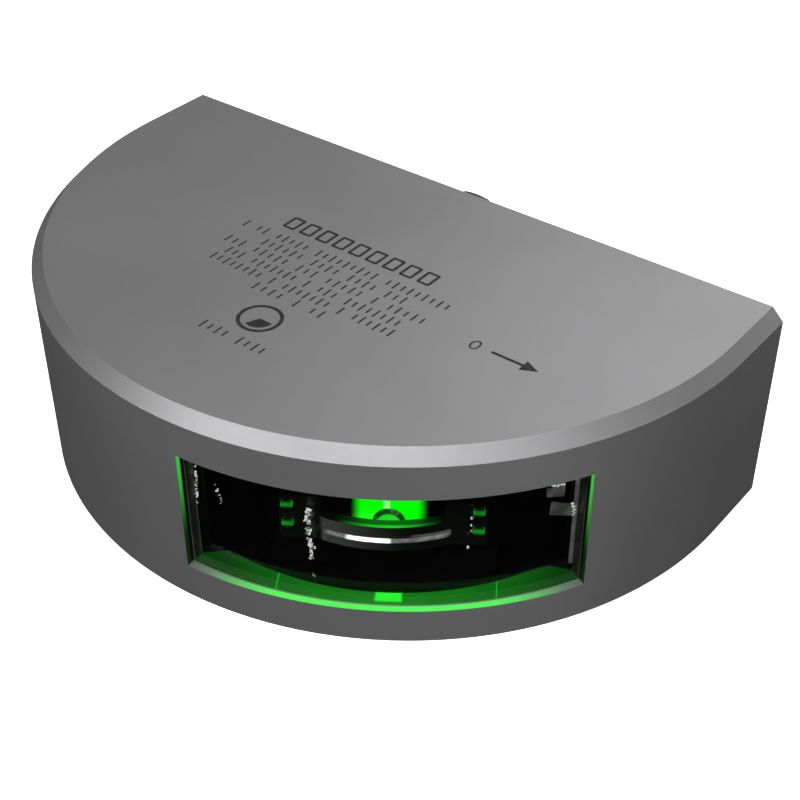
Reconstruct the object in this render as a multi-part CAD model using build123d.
from build123d import *
import math
import os

# Starboard sidelight for a small boat: a D-shaped aluminium housing whose flat back lies
# against a bulkhead. A green lamp looks out through a curved window in the round front.
#
# Frame, in millimetres: the origin is the middle of the flat back face, +Y points out of the
# back, +X is dead ahead when the light is fitted, +Z is up.

# ---------------------------------------------------------------- driving dimensions
# housing
outer_radius = 35.0         # round front
side_depth = 7.6            # straight sides, from the end of the round to the back
height = 20.0
rim_chamfer = 1.15          # top edge, not along the back
front_wall = 3.2
back_wall = 3.2
roof_wall = 3.0
bottom_land = 1.5           # width of housing left showing round the base plate

# window: its angles are measured at the centre of the round, from dead abeam (-Y)
window_azimuth = 33.75      # middle of the 112.5 degree sector
window_half_angle = 28.65
window_sill = 3.4           # housing left under the window
window_head = 4.5           # housing left over it
window_recess = 0.9         # outer face of the pane, behind the housing's face
pane_thickness = 0.8
pane_gap = 0.15             # bonding bead round the pane

# lamp, along the window's own axis
lamp_depth = 4.1            # face of the light emitter, behind the housing's round face
lamp_shift = 0.45           # towards the bow, from the window's own axis
emitter_width = 6.3
emitter_height = 5.0
emitter_thickness = 1.0
dome_radius = 1.3
dome_height = 0.55
dome_rise = 0.28            # above the middle of the emitter
lamp_board_width = 17.0
lamp_board_margin = 0.75    # from the window's edges to the board's, above and below
lamp_board_thickness = 1.0
lamp_screw_inset = (3.6, 1.4)  # from the lamp board's upper corners

# collimating ring lens in front of the emitter
ring_depth = 2.15           # its front face, behind the housing's round face
ring_radius = 13.4
ring_thickness = 0.9
ring_height = 2.55
ring_ridge = 0.2            # how far the middle of its front stands out
ring_ridge_share = 0.3       # of its height that the ridge takes up
ring_foot_width = 3.0
ring_foot_thickness = 0.8
ring_foot_rise = 1.9        # how far the feet stand up above the lens
ring_pin_radius = 0.35
ring_pin_inset = 0.7        # from a foot's outer edge to its pins
ring_pin_levels = (0.45, 2.45)  # above the middle of the lens

# black frame behind the pane
frame_front_depth = 2.1     # its front edge at the middle, behind the housing's round face
frame_front_radius = 23.4
frame_corner_inset = 2.5    # from the window's side to where its front edge turns outward
frame_skin = 0.6
frame_back_thickness = 0.8
frame_wing_depth = 8.6      # back of the frame beside the lamp board, behind the round face

# heat path
pad_thickness = 0.5
bracket_thickness = 1.5
bracket_width = 15.0
bracket_foot_length = 4.5
lead_room = 3.0             # left under the bracket, for the leads to reach the lamp board

# driver board, hung from the roof
driver_length = 24.0
driver_width = 15.0
driver_thickness = 1.2
driver_side_shift = -3.0    # to the side away from the window
driver_back_gap = 4.0       # from the inside of the back wall
driver_hang = 3.8           # length of the posts it hangs from
post_radius = 1.9
post_inset = 2.1

# on its underside: width, length, depth, and the place of its middle on the board
inductor = (5.6, 5.6, 3.2, -4.6, 3.6)
inductor_corner = 1.0
chip = (4.6, 4.0, 1.2, 4.2, -3.6)
chip_dot_radius = 0.35
chip_dot_depth = 0.1
chip_dot_inset = 0.8
resistor = (0.9, 1.8, 0.6, 8.2, 0.4)
resistor_pitch = 1.4
terminal = (7.6, 4.4, 4.8, 2.9, 4.4)
terminal_pitch = 3.6
terminal_mouth_radius = 1.0
terminal_mouth_depth = 3.0
terminal_screw_radius = 1.0
terminal_screw_depth = 0.8
terminal_slot = 0.3
can_radius = 2.1
can_length = 5.2
can_edge = 0.4
can_spots = ((-5.4, -3.2), (-0.8, -3.2))

# leads from the board to the lamp
lead_radius = 0.45
lead_spacing = 3.2
lead_level = 1.2            # above the lamp board's lower edge
lead_inset = (3.2, 5.4)     # where they leave the driver board, from its front right corner

# base plate
plate_thickness = 1.6
gasket_thickness = 0.5
boss_radius = 2.9
boss_setback = 2.6          # from the inside of the front wall to the middle of a boss
boss_angles = (-8.0, -50.0)  # round the front, where the window isn't
vent_radius = 3.0
vent_setback = 9.4          # from the ring of bosses in to the middle of the vent
vent_angle = -41.0

# cable gland in the middle of the back
gland_radius = 5.4
gland_lip = 1.3             # how far its inner flange stands out round the hole
gland_flange = 1.5
gland_reach = 2.9           # thread outside the back face
gland_wall = 1.2            # round the bush
gland_edge = 0.3
gland_throat = 2.9
cable_radius = 2.3
bush_length = 3.9
oring_thickness = 0.8
nut_wall = 2.4
nut_length = 3.45
nut_cap = 0.75
nut_edge = 0.2
nut_flutes = 12
flute_radius = 0.7
flute_shift = 0.28          # from the nut's outside to the middle of a flute
nut_seat_gap = 0.35         # round the nut, in a shallow seat sunk into the back face
nut_seat_depth = 0.4
mark_radius = 0.45          # dimple on the nut's face that shows how far it is turned

# mounting
mount_spacing = 48.0
insert_radius = 2.9
insert_length = 8.0
insert_bore = 1.65          # core of an M4 thread
pillar_wall = 2.1
pillar_depth = 16.0

# clearances
slip = 0.05                 # round a piece that is pushed into place
gap = 0.1                   # between faces that don't bear
turn_gap = 0.3              # behind the gland nut, and round the cable in it

# fasteners: shank radius, head radius, head height, length under the head
plate_screw = (1.25, 2.35, 1.2, 5.0)
board_screw = (0.8, 1.6, 0.9, 3.6)
bracket_screw = (1.0, 1.9, 1.0, 3.4)
lamp_screw = (0.6, 1.1, 0.6, 1.9)

# ---------------------------------------------------------------- levels and places
bottom = -height / 2
top = height / 2
roof = top - roof_wall
ledge = bottom + plate_thickness + gasket_thickness
window_height = height - window_sill - window_head
window_middle = bottom + window_sill + window_height / 2
lamp_board_height = window_height - 2 * lamp_board_margin
round_centre = -side_depth
pillar_face = mount_spacing / 2 - insert_radius - pillar_wall
gland_flange_radius = gland_radius + gland_lip
bush_radius = gland_radius - gland_wall
nut_radius = gland_radius + nut_wall

# the window's own axes: -Y runs out through the middle of the window
window_axis = Pos(0, round_centre, window_middle) * Rot(0, 0, window_azimuth)
emitter_face = -(outer_radius - lamp_depth)
board_face = emitter_face + emitter_thickness
board_back = board_face + lamp_board_thickness
bracket_face = board_back + pad_thickness
bracket_back = bracket_face + bracket_thickness
ring_front = -(outer_radius - ring_depth)
ring_centre = ring_front + ring_radius
frame_front = -(outer_radius - frame_front_depth)
frame_back = board_face - slip
frame_wall_face = frame_back - frame_back_thickness
frame_wing_back = -(outer_radius - frame_wing_depth)
foot_back = frame_wall_face - gap
# the ring runs back until its inside is level with the back of its feet
ring_half_angle = math.degrees(math.acos((ring_centre - foot_back) / (ring_radius - ring_thickness)))
frame_pocket = lamp_board_width / 2 + gap
roof_from_window = roof - window_middle
bracket_low = -lamp_board_height / 2 + lead_room

driver_middle_y = -back_wall - driver_back_gap - driver_width / 2
driver_top = roof - driver_hang
driver_bottom = driver_top - driver_thickness
driver_place = Pos(driver_side_shift, driver_middle_y, 0)
post_spots = [
    (x, y)
    for x in (-driver_length / 2 + post_inset, driver_length / 2 - post_inset)
    for y in (-driver_width / 2 + post_inset, driver_width / 2 - post_inset)
]

mount_places = (-mount_spacing / 2, mount_spacing / 2)
boss_ring = outer_radius - front_wall - boss_setback
flange_face = -back_wall - oring_thickness

# everything on the gland's axis is drawn upright and laid down along +Y
along_y = Rot(-90, 0, 0)

os.makedirs("parts", exist_ok=True)


def write(name, *solids):
    """One file for each piece; identical pieces share a file as separate solids."""
    piece = solids[0] if len(solids) == 1 else Compound(children=list(solids))
    piece.label = name
    export_step(piece, f"parts/{name}.step")


def polar(radius, degrees):
    """A point round the front, measured from -Y towards +X."""
    spot = Vector(0, -radius).rotate(Axis.Z, degrees)
    return (spot.X, spot.Y + round_centre)


vent_spot = polar(boss_ring - vent_setback, vent_angle)


def slab(sketch, low, high):
    """A flat outline made solid between two levels."""
    return Pos(0, 0, low) * extrude(sketch, high - low)


def block(x0, x1, y0, y1, z0, z1):
    """A box between two corners."""
    centre = Pos((x0 + x1) / 2, (y0 + y1) / 2, (z0 + z1) / 2)
    return centre * Box(x1 - x0, y1 - y0, z1 - z0)


def disc(radius, low, high, x=0.0, y=0.0):
    """An upright cylinder between two levels."""
    return Pos(x, y, (low + high) / 2) * Cylinder(radius, high - low)


def tube(outer, inner, low, high, x=0.0, y=0.0):
    """An upright tube between two levels."""
    return disc(outer, low, high, x, y) - disc(inner, low - 1, high + 1, x, y)


def d_outline(inset, back_inset):
    """The housing's D, drawn in by one distance round the front and sides and another at the back."""
    r = outer_radius - inset
    back = -back_inset
    front = ThreePointArc((-r, round_centre), (0, round_centre - r), (r, round_centre))
    edges = [
        front,
        Line((r, round_centre), (r, back)),
        Line((r, back), (-r, back)),
        Line((-r, back), (-r, round_centre)),
    ]
    return make_face(edges)


def sector(inner, outer, half_angle, side_gap=0.0):
    """A piece of a ring in the window's own axes, with its radial ends drawn in by side_gap."""
    reach = 2 * outer
    left = Vector(0, -reach).rotate(Axis.Z, -half_angle)
    right = Vector(0, -reach).rotate(Axis.Z, half_angle)
    wedge = make_face(Polyline((0, 0), (left.X, left.Y), (right.X, right.Y), close=True))
    start = -side_gap / math.sin(math.radians(half_angle))
    return (Circle(outer) - Circle(inner)) & (Pos(0, start) * wedge)


def flat_screw(size):
    """Countersunk screw standing head down, its head flush with z = 0."""
    shank, head, head_height, length = size
    cone = Pos(0, 0, head_height / 2) * Cone(head, shank, head_height)
    socket = extrude(RegularPolygon(head * 0.45, 6), head_height * 0.7)
    return cone + disc(shank, head_height, length) - socket


def pan_screw(size):
    """Pan-head screw pointing up, the underside of its head at z = 0."""
    shank, head, head_height, length = size
    cap = fillet(disc(head, -head_height, 0).edges().sort_by(Axis.Z)[0], head_height * 0.4)
    socket = Pos(0, 0, -head_height) * extrude(RegularPolygon(head * 0.45, 6), head_height * 0.5)
    return cap + disc(shank, 0, length) - socket


# ---------------------------------------------------------------- housing and base plate
def plate_screw_spots():
    """Two in the back corners and two bosses inside the round front."""
    side = ((pillar_face + outer_radius - bottom_land) / 2, -pillar_depth + boss_radius)
    return [side, (-side[0], side[1])] + [polar(boss_ring, angle) for angle in boss_angles]


def cavity_outline():
    """The hollow seen from below: the D less the back corners and the round bosses."""
    hollow = d_outline(front_wall, back_wall)
    corner_width = outer_radius - pillar_face
    for side in (-1, 1):
        middle = side * (pillar_face + corner_width / 2)
        hollow -= Pos(middle, -pillar_depth / 2) * Rectangle(corner_width, pillar_depth)
    for x, y in plate_screw_spots()[2:]:
        hollow -= Pos(x, y) * Circle(boss_radius)
        # a web ties each boss to the front wall
        out = Vector(x, y - round_centre).normalized() * boss_setback
        turn = out.get_signed_angle(Vector(0, -1))
        web = Rot(0, 0, -turn) * Rectangle(2 * boss_radius, 2 * boss_setback)
        hollow -= Pos(x + out.X / 2, y + out.Y / 2) * web
    return hollow.faces().sort_by(SortBy.AREA)[-1]


def make_housing():
    body = slab(d_outline(0, 0), bottom, top)
    rim = [e for e in body.faces().sort_by(Axis.Z)[-1].edges() if e.center().Y < -gap]
    body = chamfer(rim, rim_chamfer)
    body -= slab(d_outline(bottom_land, bottom_land), bottom - 1, ledge)
    body -= slab(cavity_outline(), ledge - 1, roof)
    opening = sector(outer_radius - 2 * front_wall, outer_radius + 1, window_half_angle)
    half = window_height / 2
    body -= window_axis * slab(opening, -half, half)
    for x, y in post_spots:
        body += driver_place * disc(post_radius, driver_top, roof, x, y)
    # holes: cable gland and the nut's seat, mounting inserts, fixing screws
    body -= along_y * disc(gland_radius + slip, -back_wall - 1, 1)
    body -= along_y * disc(nut_radius + nut_seat_gap, -nut_seat_depth, 1)
    # room for the gland's flange, should it be wider than the hollow is high
    body -= along_y * disc(gland_flange_radius + gap, flange_face - gland_flange - gap, -back_wall)
    for x in mount_places:
        body -= Pos(x, 0, 0) * along_y * disc(insert_radius, -insert_length - 1, 1)
    for x, y in plate_screw_spots():
        body -= disc(plate_screw[0] + slip, ledge - 1, bottom + plate_screw[3] + gap, x, y)
    for x, y in post_spots:
        depth = driver_bottom + board_screw[3] + gap
        body -= driver_place * disc(board_screw[0] + slip, driver_top - 1, depth, x, y)
    for x, y in bracket_screw_spots():
        depth = roof_from_window - bracket_thickness + bracket_screw[3] + gap
        low = roof_from_window - 1
        body -= window_axis * disc(bracket_screw[0] + slip, low, depth, x, y)
    return body


def make_base_plate():
    plate = slab(d_outline(bottom_land + gap, bottom_land + gap), bottom, bottom + plate_thickness)
    shank, head, head_height, _ = plate_screw
    for x, y in plate_screw_spots():
        plate -= disc(shank + slip, bottom - 1, ledge, x, y)
        sink = Cone(head + slip, shank + slip, head_height)
        plate -= Pos(x, y, bottom + head_height / 2) * sink
    return plate - disc(vent_radius + slip, bottom - 1, ledge, *vent_spot)


def make_base_gasket():
    outline = d_outline(bottom_land + gap, bottom_land + gap) - cavity_outline()
    for x, y in plate_screw_spots():
        outline -= Pos(x, y) * Circle(plate_screw[0] + slip)
    return slab(outline, bottom + plate_thickness, ledge)


def make_vent_plug():
    plug = disc(vent_radius, bottom, bottom + plate_thickness, *vent_spot)
    for turn in range(0, 360, 90):
        hole = Vector(vent_radius / 2, 0).rotate(Axis.Z, turn)
        x, y = vent_spot[0] + hole.X, vent_spot[1] + hole.Y
        plug -= disc(vent_radius / 8, bottom - 1, bottom + plate_thickness / 2, x, y)
    return plug


# ---------------------------------------------------------------- window
def make_pane():
    face = outer_radius - window_recess
    half = window_height / 2 - pane_gap
    outline = sector(face - pane_thickness, face, window_half_angle, pane_gap)
    return slab(outline, -half, half)


def make_window_bead():
    """The bonding bead: a thin frame round the pane's four edges."""
    face = outer_radius - window_recess - slip
    back = face - pane_thickness + 2 * slip
    half = window_height / 2
    around = slab(sector(back, face, window_half_angle), -half, half)
    inside = sector(back - 1, face + 1, window_half_angle, pane_gap)
    return around - slab(inside, -half + pane_gap, half - pane_gap)


# ---------------------------------------------------------------- lamp
def arc_top(offset):
    """How far forward of its centre the frame's front arc is, at an offset from the axis."""
    return (frame_front_radius**2 - offset**2) ** 0.5


def frame_outline():
    """Plan of the black frame: a shallow arc at the front that turns out to the window's sides."""
    side_radius = outer_radius - window_recess - pane_thickness - gap
    corner = Vector(0, -side_radius).rotate(Axis.Z, window_half_angle)
    turn = corner.X - frame_corner_inset
    turn_y = frame_front + frame_front_radius - arc_top(turn)
    edges = [
        ThreePointArc((-turn, turn_y), (0, frame_front), (turn, turn_y)),
        Polyline(
            (turn, turn_y),
            (corner.X, corner.Y),
            (corner.X, frame_wing_back),
            (-corner.X, frame_wing_back),
            (-corner.X, corner.Y),
            (-turn, turn_y),
        ),
    ]
    sides = sector(1, outer_radius, window_half_angle, gap)
    return Sketch() + make_face(edges) & sides


def block_sketch(x0, x1, y0, y1):
    """A rectangle between two corners."""
    return Pos((x0 + x1) / 2, (y0 + y1) / 2) * Rectangle(x1 - x0, y1 - y0)


def make_optics_frame():
    """A black box open to the pane, its back wall stepped forward over the lamp board."""
    half = window_height / 2 - gap
    wide = outer_radius
    wall = frame_pocket + frame_back_thickness
    inside = sector(1, wide, window_half_angle, gap + frame_skin)
    inside &= block_sketch(-wide, wide, -wide, frame_wing_back - frame_back_thickness)
    inside -= block_sketch(-wall, wall, frame_wall_face, 0)
    frame = slab(frame_outline(), -half, half)
    frame -= slab(inside, -half + frame_skin, half - frame_skin)
    frame -= block(-frame_pocket, frame_pocket, frame_back, 0, -half, half)
    ex, ez = emitter_width / 2 + gap, emitter_height / 2 + gap
    frame -= block(lamp_shift - ex, lamp_shift + ex, frame_wall_face - 1, frame_back + 1, -ez, ez)
    holes = [(spot, ring_pin_radius + slip) for spot in pin_spots()]
    holes += [(spot, lamp_screw[1] + gap) for spot in lamp_screw_spots()]
    for (x, z), radius in holes:
        frame -= Pos(x, 0, z) * along_y * disc(radius, frame_wall_face - 1, frame_back + 1)
    return frame


def foot_ends():
    """Inner and outer edge of each foot of the ring lens, from the window's axis."""
    inner = ring_radius * math.sin(math.radians(ring_half_angle))
    return inner, inner + ring_foot_width


def pin_spots():
    """Two pins through each foot, one above the other."""
    x = foot_ends()[1] - ring_pin_inset
    return [(side * x, z) for side in (-1, 1) for z in ring_pin_levels]


def make_ring_lens():
    """A C of clear acrylic with a ridge along the middle of its front, and a foot at each end."""
    inner = ring_radius - ring_thickness
    half = ring_height / 2
    ridge = half * ring_ridge_share
    profile = make_face(
        Polyline(
            (inner, -half),
            (ring_radius, -half),
            (ring_radius, -ridge),
            (ring_radius + ring_ridge, 0),
            (ring_radius, ridge),
            (ring_radius, half),
            (inner, half),
            close=True,
        )
    )
    turn = 2 * ring_half_angle
    arc = revolve(Plane.XZ * profile, Axis.Z, turn)
    lens = Pos(0, ring_centre, 0) * Rot(0, 0, -90 - ring_half_angle) * arc
    inner_edge, outer_edge = foot_ends()
    inner_edge -= ring_thickness / 2
    for side in (-1, 1):
        x0, x1 = sorted((side * inner_edge, side * outer_edge))
        foot_top = half + ring_foot_rise
        lens += block(x0, x1, foot_back - ring_foot_thickness, foot_back, -half, foot_top)
    for x, z in pin_spots():
        lens -= Pos(x, 0, z) * along_y * disc(ring_pin_radius + slip, ring_front - 1, frame_back)
    return lens


def make_ring_pins():
    head = foot_back - ring_foot_thickness
    pin = along_y * (
        disc(ring_pin_radius, head, frame_back)
        + disc(ring_pin_radius + 3 * slip, head - ring_pin_radius, head)
    )
    return [Pos(x, 0, z) * pin for x, z in pin_spots()]


def make_emitter():
    w, h = emitter_width / 2, emitter_height / 2
    body = block(lamp_shift - w, lamp_shift + w, emitter_face, board_face, -h, h)
    return fillet(body.edges().filter_by(Axis.Y), emitter_height / 7)


def make_dome():
    """A low spherical cap of clear silicone on the emitter's face."""
    ball = (dome_radius**2 + dome_height**2) / (2 * dome_height)
    centre = emitter_face + ball - dome_height
    front = block(-ball, ball, emitter_face - ball, emitter_face, -ball, ball)
    return Pos(lamp_shift, 0, dome_rise) * ((Pos(0, centre, 0) * Sphere(ball)) & front)


def lamp_screw_spots():
    """Two screws, near the board's upper corners."""
    x = lamp_board_width / 2 - lamp_screw_inset[0]
    z = lamp_board_height / 2 - lamp_screw_inset[1]
    return [(-x, z), (x, z)]


def make_lamp_board():
    w, h = lamp_board_width / 2, lamp_board_height / 2
    board = block(-w, w, board_face, board_back, -h, h)
    for x, z in lamp_screw_spots():
        board -= Pos(x, 0, z) * along_y * disc(lamp_screw[0] + slip, board_face - 1, board_back + 1)
    return board


def make_thermal_pad():
    w = bracket_width / 2
    low, high = bracket_low, lamp_board_height / 2
    pad = block(-w, w, board_back, bracket_face, low, high)
    for x, z in lamp_screw_spots():
        hole = disc(lamp_screw[0] + slip, board_back - 1, bracket_face + 1)
        pad -= Pos(x, 0, z) * along_y * hole
    return pad


def bracket_screw_spots():
    """Two screws through the bracket's foot, up into the roof."""
    y = bracket_back + bracket_foot_length / 2
    return [(-bracket_width / 4, y), (bracket_width / 4, y)]


def make_bracket():
    """An aluminium angle that carries the lamp board and its heat up to the roof."""
    w = bracket_width / 2
    high = roof_from_window
    upright = block(-w, w, bracket_face, bracket_back, bracket_low, high)
    foot = block(-w, w, bracket_back, bracket_back + bracket_foot_length, high - bracket_thickness, high)
    angle = upright + foot
    for x, y in bracket_screw_spots():
        angle -= disc(bracket_screw[0] + slip, high - bracket_thickness - 1, high + 1, x, y)
    for x, z in lamp_screw_spots():
        angle -= Pos(x, 0, z) * along_y * disc(lamp_screw[0] + slip, bracket_face - 1, bracket_back + 1)
    return angle


def make_lamp_screws():
    screw = Rot(-90, 0, 0) * pan_screw(lamp_screw)
    return [Pos(x, board_face, z) * screw for x, z in lamp_screw_spots()]


def make_bracket_screws():
    low = roof_from_window - bracket_thickness
    return [Pos(x, y, low) * pan_screw(bracket_screw) for x, y in bracket_screw_spots()]


# ---------------------------------------------------------------- driver board
def under_board(width, length, depth, x, y):
    """A block soldered to the underside of the driver board, its place given from the middle."""
    body = block(
        x - width / 2, x + width / 2, y - length / 2, y + length / 2, driver_bottom - depth, driver_bottom
    )
    return driver_place * body


def make_driver_board():
    w, d = driver_length / 2, driver_width / 2
    board = block(-w, w, -d, d, driver_bottom, driver_top)
    for x, y in post_spots:
        board -= disc(board_screw[0] + slip, driver_bottom - 1, driver_top + 1, x, y)
    return driver_place * board


def make_board_screws():
    return [driver_place * Pos(x, y, driver_bottom) * pan_screw(board_screw) for x, y in post_spots]


def make_inductor():
    return chamfer(under_board(*inductor).edges().filter_by(Axis.Z), inductor_corner)


def make_capacitors():
    can = disc(can_radius, driver_bottom - can_length, driver_bottom)
    can = fillet(can.edges().sort_by(Axis.Z)[0], can_edge)
    return [driver_place * Pos(x, y, 0) * can for x, y in can_spots]


def make_chip():
    width, length, depth, x, y = chip
    low = driver_bottom - depth
    dot_x = x - width / 2 + chip_dot_inset
    dot_y = y + length / 2 - chip_dot_inset
    dot = disc(chip_dot_radius, low - 1, low + chip_dot_depth, dot_x, dot_y)
    return under_board(*chip) - driver_place * dot


def make_resistors():
    width, length, depth, x, y = resistor
    return [under_board(width, length, depth, x + i * resistor_pitch, y) for i in range(3)]


def terminal_spots():
    """Middles of the two cable clamps on the terminal block."""
    x, y = terminal[3:]
    return [(x - terminal_pitch / 2, y), (x + terminal_pitch / 2, y)]


def make_terminal_block():
    """Its two mouths face the gland, and its screws are reached from below."""
    length, depth = terminal[1:3]
    low = driver_bottom - depth
    body = under_board(*terminal)
    for x, y in terminal_spots():
        mouth = disc(terminal_mouth_radius, length / 2 - terminal_mouth_depth, length / 2 + 1)
        mouth = Pos(x, y, driver_bottom - depth / 2) * along_y * mouth
        well = disc(terminal_screw_radius + gap, low - 1, low + terminal_screw_depth + gap, x, y)
        body -= driver_place * (mouth + well)
    return body


def make_terminal_screws():
    low = driver_bottom - terminal[2] + gap
    high = low + terminal_screw_depth
    head = disc(terminal_screw_radius, low, high)
    half = terminal_slot / 2
    reach = terminal_screw_radius + 1
    slot = block(-reach, reach, -half, half, low - 1, (low + high) / 2)
    return [driver_place * Pos(x, y, 0) * (head - slot) for x, y in terminal_spots()]


def make_lead(offset):
    """A lead from the driver board, down and under the bracket to the back of the lamp board."""
    level = -lamp_board_height / 2 + lead_level
    bend = 3 * lead_radius
    corner_x, corner_y = driver_length / 2, -driver_width / 2
    start = driver_place * Pos(corner_x - lead_inset[0] + offset, corner_y + lead_inset[1], driver_bottom)
    stand = window_axis * Pos(offset, bracket_back + bend, level)
    finish = window_axis * Pos(offset, board_back, level)
    a, b, c = start.position, stand.position, finish.position
    path = FilletPolyline(a, (a.X, a.Y, b.Z), b, c, radius=bend)
    return sweep(Plane(origin=path @ 0, z_dir=path % 0) * Circle(lead_radius), path)


# ---------------------------------------------------------------- cable gland and inserts
def make_gland_body():
    """Comes through the back wall from the inside: flange, thread and a pocket for the bush."""
    body = disc(gland_flange_radius, flange_face - gland_flange, flange_face)
    body += disc(gland_radius, flange_face, gland_reach)
    body -= disc(gland_throat, flange_face - gland_flange - 1, gland_reach + 1)
    body -= disc(bush_radius + slip, gland_reach - bush_length, gland_reach + 1)
    rim = body.edges().group_by(Axis.Z)[-1].sort_by(Edge.length)[-1]
    return along_y * chamfer(rim, gland_edge)


def make_gland_oring():
    return along_y * tube(gland_flange_radius - gap, gland_radius + gap, flange_face, -back_wall)


def make_gland_bush():
    return along_y * tube(bush_radius, cable_radius, gland_reach - bush_length, gland_reach)


def make_gland_nut():
    """A round cap nut with grip flutes, one land at the top."""
    body = disc(nut_radius, turn_gap, turn_gap + nut_length)
    body = fillet(body.edges().sort_by(Axis.Z)[-1], nut_edge)
    body -= disc(gland_radius + slip, turn_gap - 1, turn_gap + nut_length - nut_cap)
    body -= disc(cable_radius + turn_gap, 0, turn_gap + nut_length + 1)
    for i in range(nut_flutes):
        spot = Vector(nut_radius + flute_shift, 0).rotate(Axis.Z, (i + 0.5) * 360 / nut_flutes)
        body -= disc(flute_radius, turn_gap - 1, turn_gap + nut_length + 1, spot.X, spot.Y)
    mark_spot = (nut_radius + cable_radius) / 2
    body -= disc(mark_radius, turn_gap + nut_length - nut_cap / 3, turn_gap + nut_length + 1, 0, -mark_spot)
    return along_y * body


def make_insert(x):
    body = tube(insert_radius, insert_bore, -insert_length, 0)
    return Pos(x, 0, 0) * along_y * body


# ---------------------------------------------------------------- write every piece
write("housing", make_housing())
write("base_plate", make_base_plate())
write("base_gasket", make_base_gasket())
write("vent_plug", make_vent_plug())
write("base_screws", *[Pos(x, y, bottom) * flat_screw(plate_screw) for x, y in plate_screw_spots()])

write("window_pane", window_axis * make_pane())
write("window_bead", window_axis * make_window_bead())
write("optics_frame", window_axis * make_optics_frame())
write("ring_lens", window_axis * make_ring_lens())
write("ring_pins", *[window_axis * pin for pin in make_ring_pins()])
write("emitter", window_axis * make_emitter())
write("emitter_dome", window_axis * make_dome())
write("lamp_board", window_axis * make_lamp_board())
write("lamp_screws", *[window_axis * screw for screw in make_lamp_screws()])
write("thermal_pad", window_axis * make_thermal_pad())
write("bracket", window_axis * make_bracket())
write("bracket_screws", *[window_axis * screw for screw in make_bracket_screws()])

write("driver_board", make_driver_board())
write("board_screws", *make_board_screws())
write("inductor", make_inductor())
write("capacitors", *make_capacitors())
write("driver_chip", make_chip())
write("resistors", *make_resistors())
write("terminal_block", make_terminal_block())
write("terminal_screws", *make_terminal_screws())
write("lead_red", make_lead(lead_spacing / 2))
write("lead_black", make_lead(-lead_spacing / 2))

write("gland_body", make_gland_body())
write("gland_oring", make_gland_oring())
write("gland_bush", make_gland_bush())
write("gland_nut", make_gland_nut())
write("mount_inserts", *[make_insert(x) for x in mount_places])
